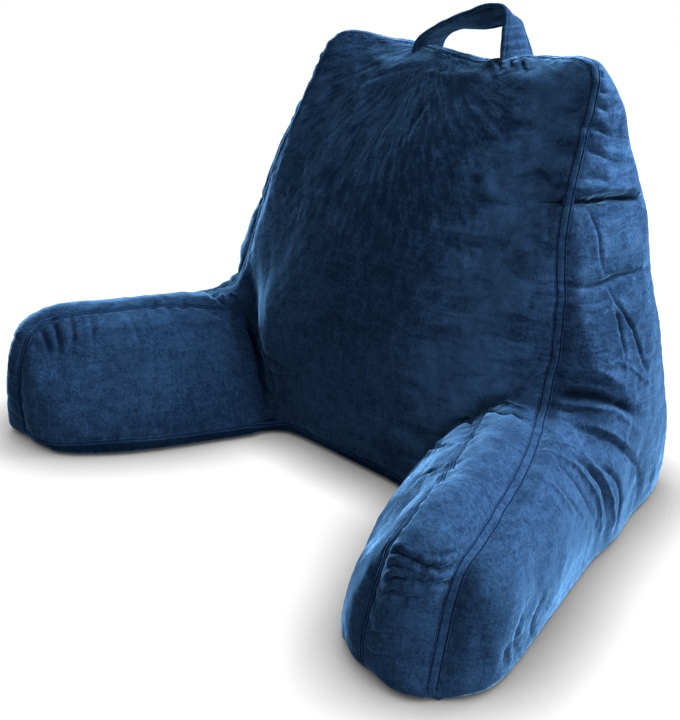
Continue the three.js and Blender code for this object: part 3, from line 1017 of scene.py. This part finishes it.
# %% The velour
PILE_DARK = (0.0039, 0.0108, 0.0280, 1)
PILE_LIGHT = (0.0176, 0.0468, 0.105, 1)
# painted shade: darker tones of the same velour, for the foot of the pillow and deep in folds
PAINTED_SHADE_DARK = (0.0014, 0.0040, 0.0105, 1)
PAINTED_SHADE_LIGHT = (0.0050, 0.0135, 0.0330, 1)
SHEEN, SHEEN_ROUGHNESS, SHEEN_TINT = 0.38, 0.32, (0.20, 0.50, 0.94, 1)
MATT = 0.95  # roughness of pile and thread
NOISE_ROUGHNESS = 0.6
PILE_HEIGHT, PILE_RELIEF = 1.8 * MM, 0.6
PLAIN_TONE = 0.22  # tone of pile that nothing has brushed
FAN_AT = (-0.045, 0, 0.43)  # where the brushed fan starts
FAN_NEAR, FAN_FAR = 0.10, 0.30  # where it fades
FAN_STROKES, FAN_BREAKS = 11, 22  # how fine it is around and outwards
FAN_LEAN = (0.44, 0.58)  # it is lighter on the left than on the right
FRONT_TO, BACK_FROM = 0.185, 0.215  # the front's pile ends here and the back's starts here
LIT_BAND_X, LIT_BAND_WIDE = 0.15, 0.08  # painted light: the front is painted lighter in a band along here
LIT_BAND_WISPS = 0.22  # how ragged the edge of that band is
SIDE_FROM, SIDE_TO = 0.18, 0.21  # the sides of the backrest start this far out
ARMS_TO, BACKREST_FROM = 0.13, 0.19  # and this high
SIDE_CRUSH = 1.6  # how much more they are creased
CROSSWAYS = (0.3, 0.3, 1)  # creases run level


def velour(name, dark, light, crushed=1.0):
    """Velour between two tones; crushed is how much of the short cross creases it has."""
    material, dye = new_material(name)
    place = dye.node("ShaderNodeTexCoord", output=3)

    def noise(at, scale, detail, twist=0.0):
        return dye.node("ShaderNodeTexNoise", {}, {
            "Vector": at, "Scale": scale, "Detail": detail, "Roughness": NOISE_ROUGHNESS,
            "Distortion": twist})

    def stretched(scale):
        return dye.node("ShaderNodeMapping", {}, {"Vector": place, "Scale": scale})

    def vector_sum(operation, first, second=(0, 0, 0), output=0):
        return dye.node("ShaderNodeVectorMath", {"operation": operation},
                        {0: first, 1: second}, output)

    def on_front():
        """1 on the front and 0 on the back."""
        return place.part(1).ramp(FRONT_TO, BACK_FROM, 1.0, 0.0)

    def on_sides():
        """1 on the sides of the backrest and 0 elsewhere."""
        high = place.part(2).ramp(ARMS_TO, BACKREST_FROM)
        return abs(place.part(0)).ramp(SIDE_FROM, SIDE_TO) * high

    def fan():
        """Strokes that spread from the strap's end, and how strong they are."""
        flat = vector_sum("MULTIPLY", vector_sum("SUBTRACT", place, FAN_AT), (1, 0, 1))
        radius = vector_sum("LENGTH", flat, output=1)
        across = flat.part(0)
        angle = dye.sum_with("ARCTAN2", flat.part(2), across)
        spread = dye.node("ShaderNodeCombineXYZ", {},
                          {0: FAN_STROKES * angle, 1: FAN_BREAKS * radius})
        strokes = noise(spread, 1.7, 4) - across.ramp(-FAN_NEAR, FAN_NEAR, *FAN_LEAN)
        return strokes * radius.ramp(FAN_NEAR, FAN_FAR, 1.0, 0.0) * on_front()

    def lit_band():
        """A band beside the right side seam, painted lighter as painted light on the front."""
        wisps = noise(stretched(CROSSWAYS), 42, 3, 0.8) - 0.5
        apart = abs(place.part(0) - LIT_BAND_X + LIT_BAND_WISPS * wisps)
        return apart.ramp(0.0, LIT_BAND_WIDE, 1.0, 0.0, "SMOOTHSTEP") * on_front()

    brushed = noise(place, 9, 2) - 0.5
    crush = (noise(stretched(CROSSWAYS), 75, 3, 1.2) - 0.5) * (1 + SIDE_CRUSH * on_sides())
    strokes = noise(stretched((1, 1, 0.4)), 150, 3, 0.8) - 0.5
    grain = noise(place, 420, 3) - 0.5
    knit = noise(stretched((0.12, 0.12, 1)), 330, 2) - 0.5
    brushed_fan = fan()
    # each number below is how much of that noise there is in the tone or in the relief
    tone = PLAIN_TONE + 0.7 * brushed + 0.7 * strokes + 1.0 * grain + 0.4 * knit
    # painted light: the band beside the right side seam lightens the tone
    tone = tone + 2.5 * brushed_fan + 0.65 * lit_band() + 0.5 * crushed * crush
    colour = dye.node("ShaderNodeClamp", {}, {"Value": tone}).blend(dark, light)
    # painted shade: pile deep in a fold is painted towards the darkest shade colour
    fold_shade = dye.node("ShaderNodeAttribute", {"attribute_name": FOLD_SHADE}, output=2)
    colour = fold_shade.blend(colour, PAINTED_SHADE_DARK)
    relief = 0.15 * strokes + 0.5 * grain + 1.3 * brushed_fan + 0.6 * crushed * crush
    bump = dye.node("ShaderNodeBump", {}, {
        "Strength": PILE_RELIEF, "Distance": PILE_HEIGHT, "Height": relief})
    return put_on(material, dye.node("ShaderNodeBsdfPrincipled", {}, {
        "Base Color": colour, "Roughness": MATT, "Specular IOR Level": 0.0, "Normal": bump,
        "Sheen Weight": SHEEN, "Sheen Roughness": SHEEN_ROUGHNESS, "Sheen Tint": SHEEN_TINT}))


VELOUR = velour("velour", PILE_DARK, PILE_LIGHT)
SHADED_BASE_VELOUR = velour("base velour in painted shade", PAINTED_SHADE_DARK, PAINTED_SHADE_LIGHT)
STRAP_VELOUR = velour("strap velour", PILE_DARK, PILE_LIGHT, crushed=0.2)
print("velour:", len(VELOUR.node_tree.nodes), "nodes")

# %% The thread
THREAD_DARK = (0.0016, 0.0050, 0.0150, 1)
THREAD_LIGHT = (0.0046, 0.0140, 0.0400, 1)
THREAD_TWIST = 2200


def thread():
    material, dye = new_material("thread")
    place = dye.node("ShaderNodeTexCoord", output=3)
    twist = dye.node("ShaderNodeTexNoise", {},
                     {"Vector": place, "Scale": THREAD_TWIST, "Detail": 1})
    return put_on(material, dye.node("ShaderNodeBsdfPrincipled", {}, {
        "Base Color": twist.blend(THREAD_DARK, THREAD_LIGHT), "Roughness": MATT,
        "Specular IOR Level": 0.0}))


# the thread material also serves as painted shade in the seams' furrows
THREAD_AND_FURROW_SHADE = thread()
CLOTH_PIECES = (cover, felled_seam, plain_seams, strap)
THREAD_PIECES = (seam_thread, strap_thread)
for piece in CLOTH_PIECES + THREAD_PIECES:
    finish = THREAD_AND_FURROW_SHADE if piece in THREAD_PIECES else STRAP_VELOUR if piece is strap else VELOUR
    piece.data.materials.append(finish)
    piece.data.polygons.foreach_set("use_smooth", [True] * len(piece.data.polygons))
# painted shade: the furrows get the thread's dark colour; under the felled seam's stitches that is
# thread, in the plain seams it is painted shade
for piece, profile in ((felled_seam, FELL_PROFILE), (plain_seams, PLAIN_PROFILE)):
    piece.data.materials.append(THREAD_AND_FURROW_SHADE)
    shade_furrows(piece, profile)
print("dressed:", [piece.name for piece in CLOTH_PIECES + THREAD_PIECES])

# %% [markdown]
# ## The base panel
# The base panel starts at the lower seam and runs under the pillow. A narrow dark rim of it shows
# between that seam and the floor, where shade falls under the pillow; that shade is painted. The
# panel is the part of the cover that lies below the seam, and it gets the velour in painted shade.

# %% Painted shade on the velour below the lower seam
RIM_REACH = 24 * MM  # the rim lies this near the lower seam, seen from above
UNDERSIDE = 2.5 * MM

faces = cover.data.polygons
middle = read_all(faces, "center", 3).astype(float)
_, apart = nearest_on(middle * (1, 1, 0), HEM_LINE * (1, 1, 0))
rim = (middle[:, 2] < HEM * MM) & (apart < RIM_REACH)
base = rim | (middle[:, 2] < UNDERSIDE)
# painted shade: the base panel gets the shaded velour
cover.data.materials.append(SHADED_BASE_VELOUR)
faces.foreach_set("material_index", base.astype(np.int32))
print("base panel:", int(base.sum()), "of", len(faces), "faces")

# %% [markdown]
# ## The room
# The photograph was lit from above and behind, and from both sides, with little from the front: the
# arm tops and the side are bright and the front lies in its own shade. The floor is white paper. A
# white wall far off closes the room for the eye, and it throws no light on the pillow.

# %% The floor
FLOOR_SIZE = 16.0
WHITE_PAPER = (1.0, 1.0, 1.0, 1)
SHADED_PAPER = (0.03, 0.028, 0.026, 1)
UNLIT_PAPER = (0.02, 0.02, 0.02, 1)
SHADE_REACH, SHADE_SAMPLES = 0.07, 8


def floor_material():
    """White paper that glows as if lit from all round, so that only what stands on it shades it;
    that shade is painted.
    """
    material, paint = new_material("floor")
    open_sky = paint.node("ShaderNodeAmbientOcclusion", {"samples": SHADE_SAMPLES},
                          {"Distance": SHADE_REACH}, 1)
    shade = (open_sky * open_sky).blend(SHADED_PAPER, WHITE_PAPER)
    return put_on(material, paint.node("ShaderNodeBsdfPrincipled", {}, {
        "Base Color": UNLIT_PAPER, "Roughness": 0.9, "Specular IOR Level": 0.0,
        "Emission Color": shade, "Emission Strength": 1.0}))


half = FLOOR_SIZE / 2
corners = [(-half, -half, 0), (half, -half, 0), (half, half, 0), (-half, half, 0)]
floor = new_piece("floor", corners, [(0, 1, 2, 3)])
floor.data.materials.append(floor_material())

# %% A white wall far behind
WALL_HEIGHT = 6.0


def wall_material():
    material, paint = new_material("wall")
    glow = paint.node("ShaderNodeEmission", {}, {"Color": WHITE_PAPER, "Strength": 1.0})
    return put_on(material, glow)


tops = [(x, y, WALL_HEIGHT) for x, y, _ in corners]
wall = new_piece("wall", corners + tops, [(0, 1, 5, 4), (1, 2, 6, 5), (2, 3, 7, 6), (3, 0, 4, 7)])
wall.data.materials.append(wall_material())
wall.visible_diffuse = wall.visible_glossy = wall.visible_shadow = False
print("floor and wall", FLOOR_SIZE, "m across")

# %% Lights
LIGHTS = [
    # name, place in metres, power in watts
    ("above", (0.7, 1.55, 2.15), 292),
    ("right", (2.4, 0.4, 1.3), 90),
    ("right front", (2.3, -0.6, 1.2), 31),
    ("back right", (1.6, 1.7, 1.4), 165),
    ("back left", (-1.9, 1.1, 1.6), 134),
    ("left", (-2.2, 0.9, 0.9), 160),
    ("low left", (-2.4, 0.3, 0.5), 100),
    ("front", (0.6, -1.6, 2.2), 22),
]
LIGHT_SIZE = 0.6
ALL_ROUND = 0.02  # strength of the light from all round

for name, place, power in LIGHTS:
    light = bpy.data.lights.new(name, "AREA")
    light.energy, light.size = power, LIGHT_SIZE
    lamp = add_object(name, light)
    lamp.location = place
    lamp.rotation_euler = (LOOK_AT - Vector(place)).to_track_quat("-Z", "Y").to_euler()
world = bpy.data.worlds.new("room")
world.use_nodes = True
world.node_tree.nodes.clear()
room = Wire(world.node_tree)
background = room.node("ShaderNodeBackground", {}, {"Color": WHITE_PAPER, "Strength": ALL_ROUND})
room.node("ShaderNodeOutputWorld", {}, {"Surface": background})
bpy.context.scene.world = world
bpy.context.scene.view_settings.view_transform = "Standard"
print("lit by", len(LIGHTS), "soft lights")

# %% [markdown]
# ## What the pieces are
# All the pieces are sewn together, so they ride on one body. The cover stands for the filled body,
# and the strap, a folded sheet with its own stitches, stands for the handle.

for piece in CLOTH_PIECES + THREAD_PIECES:
    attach(piece, "root")
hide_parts("body")
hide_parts("handle")
